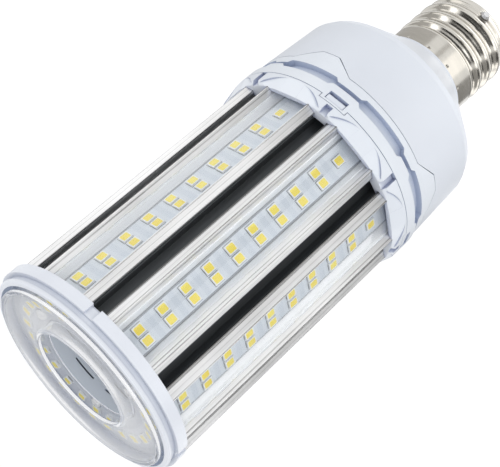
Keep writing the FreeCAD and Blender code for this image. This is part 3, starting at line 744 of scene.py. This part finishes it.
def screw(index, angle):
    """Pan head from rings of points, closed below."""
    steps, rings = 96, 18
    centre_x, centre_y = SCREW_RING_R * math.cos(angle), SCREW_RING_R * math.sin(angle)
    verts = [(centre_x, centre_y, FRONT_BOARD_Z + screw_height(0, 0))]
    for j in range(1, rings + 1):
        r = SCREW_HEAD_R * j / rings
        for i in range(steps):
            a = 2 * math.pi * i / steps
            x, y = r * math.cos(a), r * math.sin(a)
            verts.append((centre_x + x, centre_y + y, FRONT_BOARD_Z + screw_height(x, y)))
    faces = [(0, 1 + i, 1 + (i + 1) % steps) for i in range(steps)]
    for j in range(rings - 1):
        a, b = 1 + j * steps, 1 + (j + 1) * steps
        for i in range(steps):
            n = (i + 1) % steps
            faces.append((a + i, b + i, b + n, a + n))
    last = 1 + (rings - 1) * steps
    faces.append(tuple(last + i for i in reversed(range(steps))))
    piece(mesh_object("board_screw_%d" % index, verts, faces, [screw_mat], 40), "nickel")


for index, degrees in enumerate((0, 120, 240)):
    screw(index + 1, math.radians(degrees))


# Front lens
def lens():
    """Thin annular cover: outer wall, slightly domed face and a wall round the hole."""
    outer, inner = LENS_R - LENS_OUTER_ROUND, LENS_BORE + LENS_INNER_ROUND
    top = []
    for i in range(13):
        t = i / 12
        rise = LENS_DOME * math.sin(math.pi * t) - LENS_FALL * t
        top.append((outer + (inner - outer) * t, LENS_EDGE - LENS_RIM_DROP + rise))
    under = [(r, z - LENS_WALL) for r, z in reversed(top)]
    corners = [(LENS_R, LENS_SEAT, 0.0), (LENS_R, LENS_EDGE - LENS_RIM_DROP, LENS_OUTER_ROUND)]
    corners += [(r, z, 0.0) for r, z in top[1:-1]]
    corners += [(LENS_BORE, LENS_EDGE - LENS_BORE_DROP, LENS_INNER_ROUND)]
    corners += [(r, LENS_SEAT, LENS_FOOT_ROUND) for r in (LENS_BORE, LENS_BORE + LENS_WALL)]
    corners += [(LENS_BORE + LENS_WALL, under[0][1], LENS_UNDER_ROUND)]
    corners += [(r, z, 0.0) for r, z in under[1:-1]]
    corners += [(LENS_R - LENS_WALL, under[-1][1], LENS_UNDER_ROUND)]
    corners += [(LENS_R - LENS_WALL, LENS_SEAT, LENS_FOOT_ROUND)]
    profile = rounded([corner[:2] for corner in corners], [corner[2] for corner in corners], 6)
    steps = 320
    verts = []
    for i in range(steps):
        a = 2 * math.pi * i / steps
        verts += [(r * math.cos(a), r * math.sin(a), z) for r, z in profile]
    return mesh_object("clear_front_lens", verts, closed_columns(steps, len(profile)), [clear_mat], 40)


piece(lens(), "clear_plastic", "front_lens")


# Camera
camera_data = bpy.data.cameras.new("camera")
camera_data.sensor_width = 36
camera_data.lens = CAMERA_LENS
camera_data.clip_start = 0.01
camera_data.clip_end = 20
camera = placed("camera", camera_data)
camera_turn = Matrix((CAMERA_RIGHT, CAMERA_UP, CAMERA_BACK)).transposed().to_4x4()
camera.matrix_world = Matrix.Translation(Vector(CAMERA_PLACE) * MM) @ camera_turn
bpy.context.scene.camera = camera


# Studio
def glow(tree, kind, strength, colour=(1, 1, 1)):
    """Output of an emission or background node."""
    node = tree.nodes.new(kind)
    node.inputs["Color"].default_value = (*colour, 1)
    node.inputs["Strength"].default_value = strength
    return node.outputs[0]


def either(tree, first, second):
    node = tree.nodes.new("ShaderNodeMath")
    node.operation = "MAXIMUM"
    tree.links.new(first, node.inputs[0])
    tree.links.new(second, node.inputs[1])
    return node.outputs[0]


def white_when_seen(tree, lit, white, out):
    """One shader for the camera, reflections and what shows through clear parts, the other for all else."""
    path = tree.nodes.new("ShaderNodeLightPath")
    seen = either(tree, path.outputs["Is Camera Ray"], path.outputs["Is Glossy Ray"])
    seen = either(tree, seen, path.outputs["Is Transmission Ray"])
    mix = tree.nodes.new("ShaderNodeMixShader")
    tree.links.new(seen, mix.inputs["Fac"])
    tree.links.new(lit, mix.inputs[1])
    tree.links.new(white, mix.inputs[2])
    tree.links.new(mix.outputs[0], out.inputs["Surface"])


def stage_object(name, verts, faces, material):
    """Object of the studio from points in metres."""
    mesh = bpy.data.meshes.new(name)
    mesh.from_pydata(verts, [], faces)
    mesh.materials.append(material)
    obj = placed(name, mesh)
    return obj


def white_world():
    world = bpy.data.worlds.new("studio")
    bpy.context.scene.world = world
    tree = emptied(world)
    fill = glow(tree, "ShaderNodeBackground", 0.75, (0.97, 0.985, 1.0))
    white = glow(tree, "ShaderNodeBackground", 1.0)
    white_when_seen(tree, fill, white, tree.nodes.new("ShaderNodeOutputWorld"))


def floor():
    """Matte to the bulb's light, but seen as a mix of matte, which keeps the shadow, and glow."""
    material = bpy.data.materials.new("floor")
    tree = emptied(material)
    matte = tree.nodes.new("ShaderNodeBsdfDiffuse")
    matte.inputs["Color"].default_value = (0.86, 0.86, 0.86, 1)
    blend = tree.nodes.new("ShaderNodeMixShader")
    blend.inputs["Fac"].default_value = 0.45
    tree.links.new(glow(tree, "ShaderNodeEmission", 1.0), blend.inputs[1])
    tree.links.new(matte.outputs[0], blend.inputs[2])
    total = tree.nodes.new("ShaderNodeAddShader")
    tree.links.new(blend.outputs[0], total.inputs[0])
    tree.links.new(glow(tree, "ShaderNodeEmission", 0.20), total.inputs[1])
    out = tree.nodes.new("ShaderNodeOutputMaterial")
    white_when_seen(tree, matte.outputs[0], total.outputs[0], out)
    verts = [(x, y, FLOOR_Z) for x, y in rectangle(FLOOR_HALF, FLOOR_HALF)]
    stage_object("floor", verts, [(0, 1, 2, 3)], material)


def card(name, tone, start, end, distance, low, high):
    """Curved grey card that only reflections see, from one azimuth in degrees to another."""
    material = bpy.data.materials.new(name)
    tree = emptied(material)
    out = tree.nodes.new("ShaderNodeOutputMaterial")
    light = glow(tree, "ShaderNodeEmission", 1.0, (tone, tone * 0.985, tone * 0.96))
    tree.links.new(light, out.inputs["Surface"])
    steps = 24
    verts = []
    for i in range(steps + 1):
        a = math.radians(start + (end - start) * i / steps)
        x, y = distance * math.cos(a), distance * math.sin(a)
        verts += [(x, y, low), (x, y, high)]
    faces = [(2 * i, 2 * i + 2, 2 * i + 3, 2 * i + 1) for i in range(steps)]
    obj = stage_object(name, verts, faces, material)
    for ray in ("camera", "diffuse", "transmission", "shadow", "volume_scatter"):
        setattr(obj, "visible_" + ray, False)


def lamp(name, centre, size, power, target=(0, 0, 0.12)):
    data = bpy.data.lights.new(name, "AREA")
    data.shape = "RECTANGLE"
    data.size, data.size_y = size
    data.energy = power
    obj = placed(name, data)
    obj.location = centre
    obj.rotation_mode = "QUATERNION"
    obj.rotation_quaternion = (Vector(target) - Vector(centre)).to_track_quat("-Z", "Y")


white_world()
floor()

# Cards by what they are for, the screw shell, its thread, and the panels: first and last azimuth, and tone.
for group, distance, low, high, cards in (
    ("shell", FAR, CARD_FOOT, CARD_SPLIT, (
        ("left", -39, 79, 0.56), ("front", -80, -68, 0.62), ("key", -138, -94, 1.75),
        ("right", 137, 199, 0.30),
    )),
    ("thread", NEAR, 0.028, 0.078, (
        ("left", -20, 78, 0.50), ("front", -140, -42, 0.02), ("right", 112, 208, 0.35),
    )),
    ("panel", FAR, CARD_SPLIT, CARD_TOP, (
        ("slot", -153, -128, 2.40), ("right", -124, -95.2, 1.15), ("middle", -95.2, -85, 0.10),
        ("front", -84, -68, 1.35), ("left", -22, 3, 1.45), ("side", 4, 14, 0.35), ("bevel", 70, 100, 0.10),
        ("cheek", 102, 114, 1.60), ("far", 138, 157, 1.80), ("glare", 163, 176, 1.90),
        ("edge", 177, 206, 0.04),
    )),
):
    for name, start, end, tone in cards:
        card("flag_%s_%s" % (group, name), tone, start, end, distance, low, high)

lamp("lamp_key", (-0.50, -0.80, 0.42), (0.45, 0.8), 2.4)
lamp("lamp_left", (0.98, -0.25, 0.45), (0.6, 0.8), 2.3)
lamp("lamp_top", (0.1, -0.2, 1.1), (0.7, 0.7), 0.5)
lamp("lamp_neck", (-0.06, -0.14, -0.26), (0.35, 0.12), 0.20, (0, -0.03, 0.055))

bpy.context.scene.view_settings.view_transform = "Standard"
